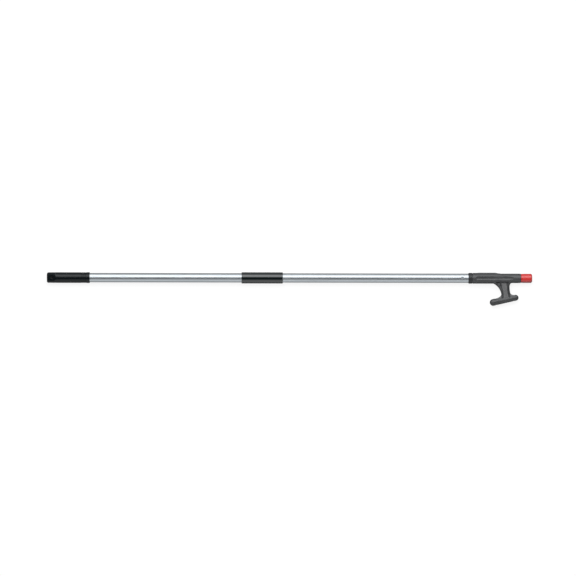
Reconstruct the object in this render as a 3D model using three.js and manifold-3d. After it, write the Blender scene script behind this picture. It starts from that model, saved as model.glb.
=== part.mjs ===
// A telescopic boat hook with a twist lock, drawn closed, in millimetres with +Z up.
// The pole lies along X with its butt at -X and its red tip at +X. The hook hangs towards -Y, flat above the
// ground, and the origin is at the bottom centre of the whole object.
import * as THREE from "three";
import { mergeVertices } from "three/addons/utils/BufferGeometryUtils.js";
import Module from "manifold-3d";

const wasm = await Module();
wasm.setup();

// Driving dimensions. Stations are distances along the pole from the butt.
const TOTAL_LENGTH = 1580;
const OUTER_TUBE_RADIUS = 15;
const OUTER_TUBE_WALL = 1.25;
const INNER_TUBE_RADIUS = 12.5;
const INNER_TUBE_WALL = 1.2;

const GRIP_LENGTH = 139;
const GRIP_END_RADIUS = 16.9;
const GRIP_END_CORNER = 4.5;
const GRIP_RADIUS = 17.2;
const GRIP_LIP_RADIUS = 17.6;
const GRIP_LIP_LENGTH = 8;
const GRIP_SOLID_END = 30;
const GRIP_GROOVE = { count: 3, pitch: 6, depth: 0.8, halfWidth: 1 };
const GRIP_FLAT = { height: 13.2, end: 20, runoutEnd: 29 };
const LANYARD_STATION = 16;
const LANYARD_HOLE_RADIUS = 4;

const SLEEVE_START = 634;
const SLEEVE_END = 768;
const SLEEVE_RADIUS = 18.2;
const SLEEVE_CHAMFER = 1;

const MOUTH_STATION = 1373;
const COLLAR_LENGTH = 12;
const COLLAR_RADIUS = 17.5;
const SPIGOT_LENGTH = 60;
const DIMPLE_STATION = 1353;
const DIMPLE_RADIUS = 5.5;
const DIMPLE_DEPTH = 0.9;
const COLLAR_CHAMFER = 0.8;
const WINDOW_MARGIN = 1.5;

const INNER_TUBE_START = 200;
const INNER_TUBE_END = 1440;
const ECCENTRICITY = 1.6;
const CAM_FREE_GAP = 0.9;
const FOAM_PLUG_LENGTH = 40;

const HEAD_START = 1385.6;
const SOCKET_RADIUS = 17.4;
const SOCKET_END = 1462;
const NOSE_START = 1478;
const NOSE_RADIUS = 15.3;
const NOSE_TAPER_START = 1536;
const NOSE_END = 1544;
const CAP_RADIUS = 14.7;
const CAP_EDGE_RADIUS = 5;
const PAD = { start: 1400, end: 1465, slope: 3.5, top: 18.2, halfWidth: 6 };
const FLUTE = { start: 1396, fullStart: 1400, fullEnd: 1506, end: 1524, depth: 2.3, arcRadius: 15.6 };
const HOOK_REAR_BALL = { station: 1453.4, drop: 78.5, radius: 11.1 };
const HOOK_FRONT_BALL = { station: 1526.5, drop: 63.1, radius: 9.7 };
const HOOK_HALF_DEPTH = 10;

const FIXED_GAP = 0.05; // between pieces that are pressed or glued together
const RUNNING_GAP = 0.1; // between pieces that slide or turn on each other
const FACE_GAP = 0.1; // between end faces that rest on each other
const CUT_PAST = 5; // how far a cutter runs past what it cuts

const ROUND_SIDES = 36;
const SMALL_SIDES = 20;
const DIMPLE_SIDES = 48;
const EDGE_STEPS = 4;

const OUTER_BORE = OUTER_TUBE_RADIUS - OUTER_TUBE_WALL;
const INNER_BORE = INNER_TUBE_RADIUS - INNER_TUBE_WALL;
const COLLAR_END = MOUTH_STATION + COLLAR_LENGTH;

// The wiper in the collar, the spigot under the tip cap and the two screws through the head's pad.
const WIPER = { start: COLLAR_END - 7, end: COLLAR_END - 4, radius: 14.4 };
const SPIGOT = { radius: 11.5, bore: 8.5, start: NOSE_START - 6, end: NOSE_END + 26, chamfer: 1 };
const HEAD_SCREW = {
  stations: [1414, 1434],
  radius: 1.9,
  headRadius: 3.8,
  headDepth: 2.2,
  pointLength: 1.5,
  top: 17.9,
  tip: 9,
  counterboreFloor: 15.5,
};

// The cam lock at the inner tube's rear end.
const LOCK = {
  flangeStart: INNER_TUBE_START - 5,
  neckStart: INNER_TUBE_START - 16,
  journalStart: INNER_TUBE_START - 36,
  insertEnd: INNER_TUBE_START + 30,
  neckRadius: 10,
  journalRadius: 7,
  pinStation: INNER_TUBE_START + 15,
  pinRadius: 1.5,
  endPlay: 0.3,
};
const CAM_SCREW = { radius: 2.1, length: 17.5, headRadius: 4.2, headDepth: 2.8, chamfer: 1, pilotDepth: 18 };
const CAM_WASHER = { thickness: 1.5, radius: 9 };
const DRAG_RING = {
  start: LOCK.journalStart + 8,
  end: LOCK.journalStart + 12,
  bore: 11.2,
  radius: OUTER_BORE - CAM_FREE_GAP - FIXED_GAP,
};

// The stem's half depth where it leaves the pole's axis and near the hook bar, and its web's half depth.
const STEM = { rootHalf: 14, tipHalf: 8, tipHeight: -70, webHalf: 2.5 };

// The three hollows on each face of the stem, as [station, height] corners.
const STEM_POCKETS = [
  [[1461, -13], [1474, -13], [1475.5, -25]],
  [[1479, -14], [1497, -14], [1499, -50], [1488, -50], [1484, -34]],
  [[1500, -12.5], [1505, -12.5], [1503, -22], [1501, -22]],
];

const LOOKS = {
  tube: { color: 0xc4c9cb, roughness: 0.32, metalness: 1 },
  rubber: { color: 0x101214, roughness: 0.55, metalness: 0 },
  nylon: { color: 0x2a2c2e, roughness: 0.6, metalness: 0 },
  lockNylon: { color: 0x1d1e20, roughness: 0.5, metalness: 0 },
  red: { color: 0xd8382f, roughness: 0.35, metalness: 0 },
  foam: { color: 0xe8e6dc, roughness: 0.95, metalness: 0 },
  steel: { color: 0xa8abad, roughness: 0.3, metalness: 1 },
};

// A mesh geometry as a solid that can be joined and cut.
function solid(geometry) {
  const bare = geometry.clone();
  bare.deleteAttribute("normal");
  bare.deleteAttribute("uv");
  const merged = mergeVertices(bare, 1e-4);
  return new wasm.Manifold(
    new wasm.Mesh({
      numProp: 3,
      vertProperties: merged.attributes.position.array,
      triVerts: merged.index.array,
    }),
  );
}

// A solid as a mesh geometry.
function geometryOf(shape) {
  const mesh = shape.getMesh();
  const geometry = new THREE.BufferGeometry();
  geometry.setAttribute("position", new THREE.BufferAttribute(mesh.vertProperties, 3));
  geometry.setIndex(new THREE.BufferAttribute(mesh.triVerts, 1));
  geometry.computeVertexNormals();
  return geometry;
}

// A piece turned about the pole's axis from [station, radius] corners that run round its section.
function turned(corners, sides = ROUND_SIDES) {
  const profile = corners.map(([station, radius]) => new THREE.Vector2(radius, station));
  const geometry = new THREE.LatheGeometry(profile, sides);
  return geometry.rotateZ(-Math.PI / 2);
}

// A plain tube, ring or sleeve about the pole's axis.
function ring(start, end, bore, radius, sides = ROUND_SIDES) {
  return turned(
    [
      [start, bore],
      [start, radius],
      [end, radius],
      [end, bore],
      [start, bore],
    ],
    sides,
  );
}

// A plain solid rod about the pole's axis.
function rod(start, end, radius, sides = ROUND_SIDES) {
  return turned(
    [
      [start, 0],
      [start, radius],
      [end, radius],
      [end, 0],
    ],
    sides,
  );
}

// An outline in the hook's plane, given as a THREE.Shape, made into a slab between two heights.
function slab(outline, low, high, curveSegments = 8) {
  const geometry = new THREE.ExtrudeGeometry(outline, {
    depth: high - low,
    bevelEnabled: false,
    curveSegments,
  });
  return geometry.translate(0, 0, low);
}

// A polygon through the given corners.
function polygon(corners) {
  return new THREE.Shape(corners.map(([x, y]) => new THREE.Vector2(x, y)));
}

// A round cutter or pin along Z that crosses the pole's axis at a station.
function crossRod(station, radius, halfLength, sides = SMALL_SIDES) {
  const geometry = new THREE.CylinderGeometry(radius, radius, 2 * halfLength, sides);
  return geometry.rotateX(Math.PI / 2).translate(station, 0, 0);
}

// Two large balls whose caps are the hollows that staking leaves, one on each side of the tube.
function dimpleBalls(extraRadius) {
  const ballRadius = (DIMPLE_RADIUS ** 2 + DIMPLE_DEPTH ** 2) / (2 * DIMPLE_DEPTH);
  const centre = OUTER_TUBE_RADIUS - DIMPLE_DEPTH + ballRadius;
  return [-1, 1].map((side) => {
    const ball = new THREE.SphereGeometry(ballRadius + extraRadius, DIMPLE_SIDES, DIMPLE_SIDES / 2);
    return solid(ball.rotateX(Math.PI / 2).translate(DIMPLE_STATION, 0, side * centre));
  });
}

function outerTube() {
  let tube = solid(ring(GRIP_SOLID_END, MOUTH_STATION, OUTER_BORE, OUTER_TUBE_RADIUS));
  const nearDimples = solid(
    rod(DIMPLE_STATION - 2 * DIMPLE_RADIUS, DIMPLE_STATION + 2 * DIMPLE_RADIUS, OUTER_TUBE_RADIUS),
  );
  for (const bump of dimpleBalls(OUTER_TUBE_WALL)) tube = tube.add(bump.intersect(nearDimples));
  for (const hollow of dimpleBalls(0)) tube = tube.subtract(hollow);
  return geometryOf(tube);
}

// The butt grip: a closed sleeve with a raised lip and grip grooves, and a flattened end with a lanyard hole.
function endGrip() {
  const lipStart = GRIP_LENGTH - GRIP_LIP_LENGTH;
  const firstGroove = lipStart - GRIP_GROOVE.count * GRIP_GROOVE.pitch;
  const bore = OUTER_TUBE_RADIUS + FIXED_GAP;
  const corners = [[0, 0]];
  for (let step = 0; step <= EDGE_STEPS; step++) {
    const angle = (step / EDGE_STEPS) * (Math.PI / 2);
    corners.push([
      GRIP_END_CORNER * (1 - Math.cos(angle)),
      GRIP_END_RADIUS - GRIP_END_CORNER * (1 - Math.sin(angle)),
    ]);
  }
  for (let groove = 0; groove < GRIP_GROOVE.count; groove++) {
    const station = firstGroove + groove * GRIP_GROOVE.pitch;
    corners.push([station, GRIP_RADIUS]);
    corners.push([station + GRIP_GROOVE.halfWidth, GRIP_RADIUS - GRIP_GROOVE.depth]);
    corners.push([station + 2 * GRIP_GROOVE.halfWidth, GRIP_RADIUS]);
  }
  corners.push([lipStart, GRIP_RADIUS]);
  corners.push([lipStart + 1, GRIP_LIP_RADIUS]);
  corners.push([GRIP_LENGTH - 1, GRIP_LIP_RADIUS]);
  corners.push([GRIP_LENGTH, GRIP_RADIUS]);
  corners.push([GRIP_LENGTH, bore]);
  corners.push([GRIP_SOLID_END - FACE_GAP, bore]);
  corners.push([GRIP_SOLID_END - FACE_GAP, 0]);
  const hole = crossRod(LANYARD_STATION, LANYARD_HOLE_RADIUS, GRIP_RADIUS + CUT_PAST);
  const flat = slab(
    polygon([
      [-CUT_PAST, GRIP_FLAT.height],
      [GRIP_FLAT.end, GRIP_FLAT.height],
      [GRIP_FLAT.runoutEnd, GRIP_RADIUS],
      [GRIP_FLAT.runoutEnd, GRIP_RADIUS + CUT_PAST],
      [-CUT_PAST, GRIP_RADIUS + CUT_PAST],
    ]),
    -GRIP_RADIUS - CUT_PAST,
    GRIP_RADIUS + CUT_PAST,
  );
  let grip = solid(turned(corners)).subtract(solid(hole));
  for (const turn of [-1, 1]) {
    grip = grip.subtract(solid(flat.clone().rotateX((turn * Math.PI) / 2)));
  }
  return geometryOf(grip);
}

// The second hand's sleeve, half way along the outer tube.
function midGrip() {
  const bore = OUTER_TUBE_RADIUS + FIXED_GAP;
  return turned([
    [SLEEVE_START, bore],
    [SLEEVE_START, SLEEVE_RADIUS - SLEEVE_CHAMFER],
    [SLEEVE_START + SLEEVE_CHAMFER, SLEEVE_RADIUS],
    [SLEEVE_END - SLEEVE_CHAMFER, SLEEVE_RADIUS],
    [SLEEVE_END, SLEEVE_RADIUS - SLEEVE_CHAMFER],
    [SLEEVE_END, bore],
    [SLEEVE_START, bore],
  ]);
}

// The bushing in the tube's mouth: a collar outside, a spigot inside, a groove for the wiper
// and a window on each side where the tube's dimples hold it.
function guideBushing() {
  const bore = INNER_TUBE_RADIUS + RUNNING_GAP;
  const mouth = MOUTH_STATION + FACE_GAP;
  const spigotRadius = OUTER_BORE - RUNNING_GAP;
  const bushing = turned([
    [MOUTH_STATION - SPIGOT_LENGTH, bore],
    [MOUTH_STATION - SPIGOT_LENGTH, spigotRadius],
    [mouth, spigotRadius],
    [mouth, COLLAR_RADIUS - COLLAR_CHAMFER],
    [mouth + COLLAR_CHAMFER, COLLAR_RADIUS],
    [COLLAR_END - COLLAR_CHAMFER, COLLAR_RADIUS],
    [COLLAR_END, COLLAR_RADIUS - COLLAR_CHAMFER],
    [COLLAR_END, bore],
    [WIPER.end + FIXED_GAP, bore],
    [WIPER.end + FIXED_GAP, WIPER.radius + FIXED_GAP],
    [WIPER.start - FIXED_GAP, WIPER.radius + FIXED_GAP],
    [WIPER.start - FIXED_GAP, bore],
    [MOUTH_STATION - SPIGOT_LENGTH, bore],
  ]);
  const window = crossRod(DIMPLE_STATION, DIMPLE_RADIUS + WINDOW_MARGIN, OUTER_TUBE_RADIUS);
  return geometryOf(solid(bushing).subtract(solid(window)));
}

// The plug: an insert in the tube, a flange, a neck for the glide ring and the eccentric journal.
function camPlug() {
  const insertRadius = INNER_BORE - FIXED_GAP;
  const trunk = turned([
    [LOCK.neckStart, 0],
    [LOCK.neckStart, LOCK.neckRadius],
    [LOCK.flangeStart, LOCK.neckRadius],
    [LOCK.flangeStart, INNER_TUBE_RADIUS],
    [INNER_TUBE_START - FACE_GAP, INNER_TUBE_RADIUS],
    [INNER_TUBE_START - FACE_GAP, insertRadius],
    [LOCK.insertEnd, insertRadius],
    [LOCK.insertEnd, 0],
  ]);
  const journal = offCentre(rod(LOCK.journalStart, LOCK.flangeStart, LOCK.journalRadius));
  const pilotHole = offCentre(
    rod(
      LOCK.journalStart - CUT_PAST,
      LOCK.journalStart + CAM_SCREW.pilotDepth,
      CAM_SCREW.radius + FIXED_GAP,
      SMALL_SIDES,
    ),
  );
  const pinHole = crossRod(LOCK.pinStation, LOCK.pinRadius + FIXED_GAP, INNER_TUBE_RADIUS);
  const plug = solid(trunk).add(solid(journal));
  return geometryOf(plug.subtract(solid(pilotHole)).subtract(solid(pinHole)));
}

// A piece of the lock that is centred on the eccentric journal.
function offCentre(geometry) {
  return geometry.translate(0, ECCENTRICITY, 0);
}

// The ring that the journal pushes against the outer tube's wall when the inner tube is turned.
function camRing() {
  const start = LOCK.journalStart + LOCK.endPlay;
  const end = LOCK.neckStart - LOCK.endPlay;
  const radius = OUTER_BORE - CAM_FREE_GAP;
  const grooveFloor = DRAG_RING.bore - FIXED_GAP;
  const body = turned([
    [start, 0],
    [start, radius],
    [DRAG_RING.start - FIXED_GAP, radius],
    [DRAG_RING.start - FIXED_GAP, grooveFloor],
    [DRAG_RING.end + FIXED_GAP, grooveFloor],
    [DRAG_RING.end + FIXED_GAP, radius],
    [end, radius],
    [end, 0],
  ]);
  const bore = offCentre(
    rod(start - CUT_PAST, end + CUT_PAST, LOCK.journalRadius + RUNNING_GAP),
  );
  return geometryOf(solid(body).subtract(solid(bore)));
}

function camWasher() {
  const end = LOCK.journalStart - FACE_GAP;
  const bore = CAM_SCREW.radius + 2 * RUNNING_GAP;
  return offCentre(ring(end - CAM_WASHER.thickness, end, bore, CAM_WASHER.radius, SMALL_SIDES));
}

// A pan-head screw along the pole, as a head and a shank.
function camScrew() {
  const headEnd = LOCK.journalStart - CAM_WASHER.thickness - 2 * FACE_GAP;
  const headStart = headEnd - CAM_SCREW.headDepth;
  const point = LOCK.journalStart + CAM_SCREW.length;
  const screw = turned(
    [
      [headStart, 0],
      [headStart, CAM_SCREW.headRadius - CAM_SCREW.chamfer],
      [headStart + CAM_SCREW.chamfer, CAM_SCREW.headRadius],
      [headEnd, CAM_SCREW.headRadius],
      [headEnd, CAM_SCREW.radius],
      [point - CAM_SCREW.chamfer, CAM_SCREW.radius],
      [point, 0],
    ],
    SMALL_SIDES,
  );
  return offCentre(screw);
}

function innerTube() {
  const pinHole = crossRod(
    LOCK.pinStation,
    LOCK.pinRadius + FIXED_GAP,
    INNER_TUBE_RADIUS + CUT_PAST,
  );
  let tube = solid(ring(INNER_TUBE_START, INNER_TUBE_END, INNER_BORE, INNER_TUBE_RADIUS));
  tube = tube.subtract(solid(pinHole));
  for (const station of HEAD_SCREW.stations) {
    const hole = screwHole(station, HEAD_SCREW.radius + FIXED_GAP, 0);
    tube = tube.subtract(solid(hole));
  }
  return geometryOf(tube);
}

// A round cutter that runs from a height over the axis up past the top of the head's pad.
function screwHole(station, radius, floor) {
  const top = PAD.top + CUT_PAST;
  const cutter = new THREE.CylinderGeometry(radius, radius, top - floor, SMALL_SIDES);
  return cutter.translate(station, (floor + top) / 2, 0);
}

// A countersunk screw through the head's pad and the tube's wall.
function headScrew(station) {
  const profile = [
    [0, HEAD_SCREW.tip],
    [HEAD_SCREW.radius, HEAD_SCREW.tip + HEAD_SCREW.pointLength],
    [HEAD_SCREW.radius, HEAD_SCREW.top - HEAD_SCREW.headDepth],
    [HEAD_SCREW.headRadius, HEAD_SCREW.top],
    [0, HEAD_SCREW.top],
  ];
  const corners = profile.map(([radius, height]) => new THREE.Vector2(radius, height));
  return new THREE.LatheGeometry(corners, SMALL_SIDES).translate(station, 0, 0);
}

// The head's socket, nose and the spigot that the tip cap is pushed on.
function headTrunk() {
  const socketBore = INNER_TUBE_RADIUS + FIXED_GAP;
  const socketFloor = INNER_TUBE_END + 5 * FACE_GAP;
  return turned([
    [socketFloor, 0],
    [socketFloor, socketBore],
    [HEAD_START, socketBore],
    [HEAD_START, SOCKET_RADIUS - COLLAR_CHAMFER],
    [HEAD_START + COLLAR_CHAMFER, SOCKET_RADIUS],
    [SOCKET_END, SOCKET_RADIUS],
    [NOSE_START, NOSE_RADIUS],
    [NOSE_TAPER_START, NOSE_RADIUS],
    [NOSE_END, CAP_RADIUS],
    [NOSE_END, SPIGOT.radius],
    [SPIGOT.end - SPIGOT.chamfer, SPIGOT.radius],
    [SPIGOT.end, SPIGOT.radius - SPIGOT.chamfer],
    [SPIGOT.end, SPIGOT.bore],
    [SPIGOT.start, SPIGOT.bore],
    [SPIGOT.start, 0],
  ]);
}

// The stem between the head and the hook bar: curved at the rear, nearly straight in front.
function stemOutline() {
  const outline = new THREE.Shape();
  outline.moveTo(1449, -8);
  outline.lineTo(1451, -13.5);
  outline.quadraticCurveTo(1453, -17.2, 1457, -18.6);
  outline.quadraticCurveTo(1476.6, -30, 1480.3, -51.7);
  outline.quadraticCurveTo(1480.6, -60.2, 1463, -65.8);
  outline.lineTo(1466, -72);
  outline.lineTo(1524, -61);
  outline.lineTo(1526, -54.6);
  outline.lineTo(1519, -53.8);
  outline.quadraticCurveTo(1510, -53.4, 1508.4, -46);
  outline.quadraticCurveTo(1504.6, -24, 1508.8, -18.6);
  outline.quadraticCurveTo(1511.5, -15, 1518, -14.2);
  outline.lineTo(1520, -8);
  outline.closePath();
  return outline;
}

// The stem, thick where it leaves the head and thinner at the hook bar, with pockets either side of its web.
function headStem() {
  const wedge = polygon([
    [0, -STEM.rootHalf],
    [0, STEM.rootHalf],
    [STEM.tipHeight, STEM.tipHalf],
    [STEM.tipHeight, -STEM.tipHalf],
  ]);
  const taper = new THREE.ExtrudeGeometry(wedge, { depth: NOSE_END - HEAD_START, bevelEnabled: false });
  taper.applyMatrix4(
    new THREE.Matrix4().makeBasis(
      new THREE.Vector3(0, 1, 0),
      new THREE.Vector3(0, 0, 1),
      new THREE.Vector3(1, 0, 0),
    ),
  );
  const blank = solid(slab(stemOutline(), -STEM.rootHalf, STEM.rootHalf));
  let stem = blank.intersect(solid(taper.translate(HEAD_START, 0, 0)));
  for (const corners of STEM_POCKETS) {
    const past = STEM.rootHalf + CUT_PAST;
    stem = stem.subtract(solid(slab(polygon(corners), STEM.webHalf, past)));
    stem = stem.subtract(solid(slab(polygon(corners), -past, -STEM.webHalf)));
  }
  return stem;
}

// The hook bar: two balls of different size and the straight taper between them.
function hookBar() {
  const rear = HOOK_REAR_BALL;
  const front = HOOK_FRONT_BALL;
  const run = front.station - rear.station;
  const rise = rear.drop - front.drop;
  const length = Math.hypot(run, rise);
  const lean = Math.asin((rear.radius - front.radius) / length);
  const corners = [];
  const steps = 7;
  for (let step = 0; step <= steps; step++) {
    const angle = -Math.PI / 2 + (step / steps) * (Math.PI / 2 + lean);
    corners.push([rear.radius * Math.sin(angle), rear.radius * Math.cos(angle)]);
  }
  for (let step = 0; step <= steps; step++) {
    const angle = lean + (step / steps) * (Math.PI / 2 - lean);
    corners.push([length + front.radius * Math.sin(angle), front.radius * Math.cos(angle)]);
  }
  corners[0][1] = 0;
  corners[corners.length - 1][1] = 0;
  const bar = turned(corners, 24);
  bar.scale(1, 1, HOOK_HALF_DEPTH / rear.radius);
  bar.rotateZ(Math.atan2(rise, run));
  return bar.translate(rear.station, -rear.drop, 0);
}

// The radius of the head's trunk at a station.
function trunkRadius(station) {
  const share = THREE.MathUtils.clamp((station - SOCKET_END) / (NOSE_START - SOCKET_END), 0, 1);
  return THREE.MathUtils.lerp(SOCKET_RADIUS, NOSE_RADIUS, share);
}

// The cutter for the long hollow flute on one side of the head, which runs out to a point on the nose.
function sideFlute(side) {
  const length = FLUTE.end - FLUTE.start;
  const cutter = new THREE.CylinderGeometry(FLUTE.arcRadius, FLUTE.arcRadius, length, 64, 32);
  cutter.rotateZ(Math.PI / 2).translate((FLUTE.start + FLUTE.end) / 2, 0, 0);
  const position = cutter.attributes.position;
  for (let index = 0; index < position.count; index++) {
    const station = position.getX(index);
    const entry = THREE.MathUtils.clamp((station - FLUTE.start) / (FLUTE.fullStart - FLUTE.start), 0, 1);
    const runout = THREE.MathUtils.clamp((FLUTE.end - station) / (FLUTE.end - FLUTE.fullEnd), 0, 1);
    const depth = FLUTE.depth * Math.min(entry, runout);
    const centre = trunkRadius(station) - depth + FLUTE.arcRadius;
    position.setZ(index, position.getZ(index) + side * centre);
  }
  return solid(cutter);
}

// The raised pad along the top of the socket, which the two screws go through.
function headPad() {
  const root = SOCKET_RADIUS - CUT_PAST;
  const outline = polygon([
    [PAD.start, root],
    [PAD.end, root],
    [PAD.end - PAD.slope, PAD.top],
    [PAD.start + PAD.slope, PAD.top],
  ]);
  return slab(outline, -PAD.halfWidth, PAD.halfWidth);
}

// The whole hook head, moulded in one piece.
function hookHead() {
  const insideTrunk = solid(rod(HEAD_START, NOSE_END, (INNER_TUBE_RADIUS + NOSE_RADIUS) / 2));
  let head = solid(headTrunk()).add(solid(hookBar()));
  head = head.add(headStem().subtract(insideTrunk));
  head = head.add(solid(headPad()).subtract(insideTrunk));
  for (const side of [-1, 1]) head = head.subtract(sideFlute(side));
  for (const station of HEAD_SCREW.stations) {
    const shankHole = screwHole(station, HEAD_SCREW.radius + FIXED_GAP, 0);
    const counterbore = screwHole(
      station,
      HEAD_SCREW.headRadius + 3 * FACE_GAP,
      HEAD_SCREW.counterboreFloor,
    );
    head = head.subtract(solid(shankHole)).subtract(solid(counterbore));
  }
  return geometryOf(head);
}

// The soft red cap over the spigot, with a rounded edge round a flat end.
function tipCap() {
  const bore = SPIGOT.radius + FIXED_GAP;
  const corners = [
    [SPIGOT.end + FACE_GAP, 0],
    [SPIGOT.end + FACE_GAP, bore],
    [NOSE_END + FACE_GAP, bore],
    [NOSE_END + FACE_GAP, CAP_RADIUS],
  ];
  for (let step = 0; step <= EDGE_STEPS; step++) {
    const angle = (step / EDGE_STEPS) * (Math.PI / 2);
    corners.push([
      TOTAL_LENGTH - CAP_EDGE_RADIUS * (1 - Math.sin(angle)),
      CAP_RADIUS - CAP_EDGE_RADIUS * (1 - Math.cos(angle)),
    ]);
  }
  corners.push([TOTAL_LENGTH, 0]);
  return turned(corners);
}

// A named sub-part with its own material.
function piece(name, geometry, look) {
  const mesh = new THREE.Mesh(geometry, new THREE.MeshStandardMaterial(LOOKS[look]));
  mesh.name = name;
  return mesh;
}

function outerAssembly() {
  const group = new THREE.Group();
  group.add(piece("outer_tube", outerTube(), "tube"));
  group.add(piece("end_grip", endGrip(), "rubber"));
  group.add(piece("mid_grip", midGrip(), "rubber"));
  group.add(piece("guide_bushing", guideBushing(), "lockNylon"));
  const wiper = ring(WIPER.start, WIPER.end, INNER_TUBE_RADIUS + RUNNING_GAP, WIPER.radius);
  group.add(piece("wiper_ring", wiper, "rubber"));
  const plug = rod(GRIP_SOLID_END + 1, GRIP_SOLID_END + 1 + FOAM_PLUG_LENGTH, OUTER_BORE - FIXED_GAP);
  group.add(piece("butt_foam_plug", plug, "foam"));
  return group;
}

function lockAssembly() {
  const group = new THREE.Group();
  const glide = ring(
    LOCK.neckStart + LOCK.endPlay,
    LOCK.flangeStart - LOCK.endPlay,
    LOCK.neckRadius + RUNNING_GAP,
    OUTER_BORE - RUNNING_GAP,
  );
  group.add(piece("glide_ring", glide, "lockNylon"));
  group.add(piece("cam_plug", camPlug(), "nylon"));
  group.add(piece("cam_ring", camRing(), "lockNylon"));
  const drag = ring(DRAG_RING.start, DRAG_RING.end, DRAG_RING.bore, DRAG_RING.radius);
  group.add(piece("cam_drag_ring", drag, "rubber"));
  group.add(piece("cam_washer", camWasher(), "steel"));
  group.add(piece("cam_screw", camScrew(), "steel"));
  const pin = crossRod(LOCK.pinStation, LOCK.pinRadius, INNER_TUBE_RADIUS - FACE_GAP);
  group.add(piece("cam_plug_pin", pin, "steel"));
  return group;
}

function innerAssembly() {
  const group = new THREE.Group();
  const foamRadius = INNER_BORE - FIXED_GAP;
  const rearFoam = rod(LOCK.insertEnd + 1, LOCK.insertEnd + 1 + FOAM_PLUG_LENGTH, foamRadius);
  const frontFoam = rod(INNER_TUBE_END - 2 * FOAM_PLUG_LENGTH, INNER_TUBE_END - FOAM_PLUG_LENGTH, foamRadius);
  group.add(piece("inner_tube", innerTube(), "tube"));
  group.add(piece("rear_foam_plug", rearFoam, "foam"));
  group.add(piece("front_foam_plug", frontFoam, "foam"));
  group.add(piece("hook_head", hookHead(), "nylon"));
  HEAD_SCREW.stations.forEach((station, index) => {
    group.add(piece(`head_screw_${index + 1}`, headScrew(station), "steel"));
  });
  group.add(piece("tip_cap", tipCap(), "red"));
  return group;
}

const boatHook = new THREE.Group();
boatHook.add(outerAssembly(), lockAssembly(), innerAssembly());

const box = new THREE.Box3().setFromObject(boatHook, true);
const middle = box.getCenter(new THREE.Vector3());
boatHook.position.set(-middle.x, -middle.y, -box.min.z);

export default boatHook;
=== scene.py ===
"""A telescopic boat hook, closed, lying flat: its looks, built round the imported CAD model.

Metres, +Z up. The pole lies along X with its red tip at +X, and the hook hangs towards -Y.
"""
import math

import bmesh
import bpy
from mathutils import Matrix, Vector


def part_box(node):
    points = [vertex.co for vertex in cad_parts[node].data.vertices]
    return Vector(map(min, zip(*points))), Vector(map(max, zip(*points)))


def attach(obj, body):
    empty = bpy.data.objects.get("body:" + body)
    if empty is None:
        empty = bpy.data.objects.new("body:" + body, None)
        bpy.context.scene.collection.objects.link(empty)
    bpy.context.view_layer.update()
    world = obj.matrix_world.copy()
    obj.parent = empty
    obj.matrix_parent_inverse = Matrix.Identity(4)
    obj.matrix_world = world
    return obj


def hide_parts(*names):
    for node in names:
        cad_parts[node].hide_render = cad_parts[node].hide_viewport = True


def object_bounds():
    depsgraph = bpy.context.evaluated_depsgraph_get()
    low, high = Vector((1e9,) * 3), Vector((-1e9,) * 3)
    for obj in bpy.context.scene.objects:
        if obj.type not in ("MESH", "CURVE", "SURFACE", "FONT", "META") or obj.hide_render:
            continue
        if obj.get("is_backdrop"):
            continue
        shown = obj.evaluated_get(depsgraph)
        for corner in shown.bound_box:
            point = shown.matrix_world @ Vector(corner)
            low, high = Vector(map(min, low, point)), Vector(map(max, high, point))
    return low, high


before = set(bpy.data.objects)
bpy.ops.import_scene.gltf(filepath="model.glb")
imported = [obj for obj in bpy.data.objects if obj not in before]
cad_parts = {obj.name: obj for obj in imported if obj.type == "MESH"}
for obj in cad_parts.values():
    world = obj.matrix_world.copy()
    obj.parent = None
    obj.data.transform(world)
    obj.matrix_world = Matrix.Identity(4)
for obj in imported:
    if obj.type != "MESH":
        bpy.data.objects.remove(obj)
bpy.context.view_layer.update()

MM = 0.001
ROUND_SIDES = 144
BAR_SIDES = 96
SMALL_SIDES = 48
FILLET_STEPS = 5
SHARP_ANGLE = math.radians(38)
PAST = 4 * MM  # how far a cutter runs past what it cuts


def span(node):
    """Where a turned CAD node starts and ends along the pole, and its largest radius."""
    low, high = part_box(node)
    return low.x, high.x, (high.y - low.y) / 2


# The pole's axis and the places along it, from the frame.
tube_low, tube_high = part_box("outer_tube")
AXIS = Vector((0, (tube_low.y + tube_high.y) / 2, (tube_low.z + tube_high.z) / 2))
POLE = Matrix.Translation(AXIS)
BUTT, GRIP_END, GRIP_RADIUS = span("end_grip")
TUBE_START, MOUTH, TUBE_RADIUS = span("outer_tube")
INNER_START, INNER_END, INNER_RADIUS = span("inner_tube")
SLEEVE_START, SLEEVE_END, SLEEVE_RADIUS = span("mid_grip")
SPIGOT_START, COLLAR_END, COLLAR_RADIUS = span("guide_bushing")
WIPER_START, WIPER_END, WIPER_RADIUS = span("wiper_ring")
CAP_START, TIP, CAP_RADIUS = span("tip_cap")
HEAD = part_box("hook_head")[0].x
HEAD_SPIGOT_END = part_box("hook_head")[1].x
BAR_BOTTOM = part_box("hook_head")[0].y - AXIS.y

TUBE_WALL = 1.25 * MM
INNER_WALL = 1.2 * MM
GLUE_GAP = 0.05 * MM
RUNNING_GAP = 0.1 * MM

# The staked dimples near the mouth. A profile of 1 is a cone, 2 a bowl, and more is flatter in the middle.
DIMPLE = {"station": MOUTH - 20 * MM, "radius": 5.5 * MM, "depth": 0.9 * MM, "profile": 2.2}

# The butt grip's two flats, which turn outwards in an arc at their front end, and the hole across them.
FLAT_HEIGHT = 13.2 * MM
FLAT_END = BUTT + 20 * MM
FLAT_RUNOUT = {"radius": 14 * MM, "turn": math.radians(35), "steps": 8}
LANYARD_HOLE = BUTT + 16 * MM
LANYARD_HOLE_RADIUS = 4 * MM

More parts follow.
